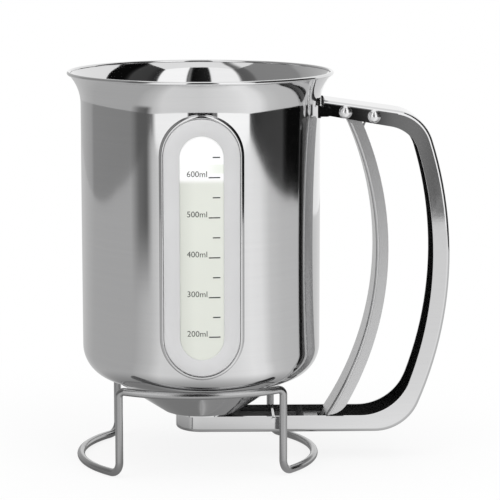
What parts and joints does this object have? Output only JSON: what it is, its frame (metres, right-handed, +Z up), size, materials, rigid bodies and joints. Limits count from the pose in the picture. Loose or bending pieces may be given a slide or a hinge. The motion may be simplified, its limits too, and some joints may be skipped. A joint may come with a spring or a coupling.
{
  "type": "batter dispenser",
  "caption": "Funnel-bottomed steel cup with a sight window, a pistol handle whose trigger slides a gate under the outlet, and a bent-wire stand.",
  "frame": {"origin": "centre of the bounding box in plan, on the table plane under the stand", "axes": "+Z up, +X from the cup towards the handle, -Y towards the measuring window"},
  "size_m": [0.149, 0.1038, 0.1537],
  "materials": {
    "polished_steel": "mirror polished stainless steel",
    "brushed_handle": "satin brushed stainless steel sheet",
    "satin_steel": "plain satin stainless steel",
    "satin_wire": "satin drawn stainless wire",
    "spring_steel": "drawn spring wire",
    "silicone": "translucent white food-safe silicone",
    "clear_pane": "milky clear plastic",
    "grey_plastic": "matt light grey",
    "white_plastic": "plain white acetal"
  },
  "bodies": {
    "stand": {"stand_wire": "satin_wire"},
    "dispenser": {"cup_body": "polished_steel", "window_gasket": "silicone", "window_pane": "clear_pane", "window_band": "grey_plastic", "window_trim": "polished_steel", "outlet_saddle": "polished_steel", "outlet_nozzle": "satin_steel", "nozzle_lock_ring": "satin_steel", "nozzle_seal": "silicone", "handle_channel": "brushed_handle", "handle_bracket": "polished_steel", "trigger_pivot_pin": "polished_steel", "spring_pin": "polished_steel", "rivet_caps": "polished_steel", "spring_sleeves": "white_plastic", "torsion_spring": "spring_steel", "gate_hold_down_pin": "polished_steel"},
    "trigger": {"trigger_lever": "brushed_handle", "pivot_bush": "white_plastic"},
    "gate": {"slide_gate": "satin_steel"}
  },
  "joints": [
    {"name": "dispenser_lift", "type": "slide", "parent": "stand", "child": "dispenser", "axis": [0, 0, 1], "range_m": [0, 0.06]},
    {"name": "trigger_pivot", "type": "hinge", "parent": "dispenser", "child": "trigger", "pos_m": [0.0333, 0, 0.1383], "axis": [0, -1, 0], "range_deg": [0, 8.16], "stiffness_Nm_per_rad": 0.1, "springref_deg": -28.65, "deforming": ["torsion_spring"]},
    {"name": "gate_slide", "type": "slide", "parent": "dispenser", "child": "gate", "axis": [1, 0, 0], "range_m": [0, 0.0176]}
  ],
  "couplings": [
    {"joint": "gate_slide", "follows": "trigger_pivot", "m_per_rad": 0.1228}
  ]
}
